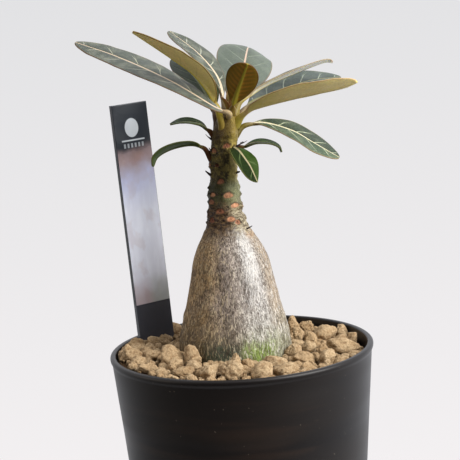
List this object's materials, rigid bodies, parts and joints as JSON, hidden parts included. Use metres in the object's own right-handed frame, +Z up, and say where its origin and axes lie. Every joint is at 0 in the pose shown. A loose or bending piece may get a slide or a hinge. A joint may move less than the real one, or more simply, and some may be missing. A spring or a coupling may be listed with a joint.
{
  "type": "potted adenium socotranum",
  "caption": "Caudex plant with a swollen conical base, a short scarred stem and a whorl of leaves, in a round black pot of coarse grains with a plant label.",
  "frame": {"origin": "centre of the pot's flat base", "axes": "+Z up along the pot and the plant, -Y towards the front of the plant, +X to the right seen from the front"},
  "size_m": [0.0945, 0.091, 0.1895],
  "materials": {
    "pot_plastic": "satin",
    "grains": "matte",
    "bark": "matte",
    "leaf_upper": "satin",
    "leaf_lower": "satin",
    "shoot": "satin",
    "label_plastic": "gloss"
  },
  "bodies": {
    "root": {"pot": "pot_plastic", "substrate": "grains", "caudex_stem": "bark", "leaf_left_long": "leaf_upper", "leaf_left_rising": "leaf_upper", "leaf_back_left_high": "leaf_upper", "leaf_back_left_low": "leaf_upper", "leaf_back": "leaf_upper", "leaf_young": "leaf_upper", "leaf_right_thin": "leaf_upper", "leaf_right_back": "leaf_upper", "leaf_right_front": "leaf_upper", "leaf_right_low": "leaf_lower", "leaf_left_small": "leaf_lower", "leaf_left_arch": "leaf_lower", "leaf_right_small": "leaf_lower", "leaf_front_small": "leaf_lower", "shoot_tip": "shoot", "plant_label": "label_plastic"}
  },
  "joints": []
}
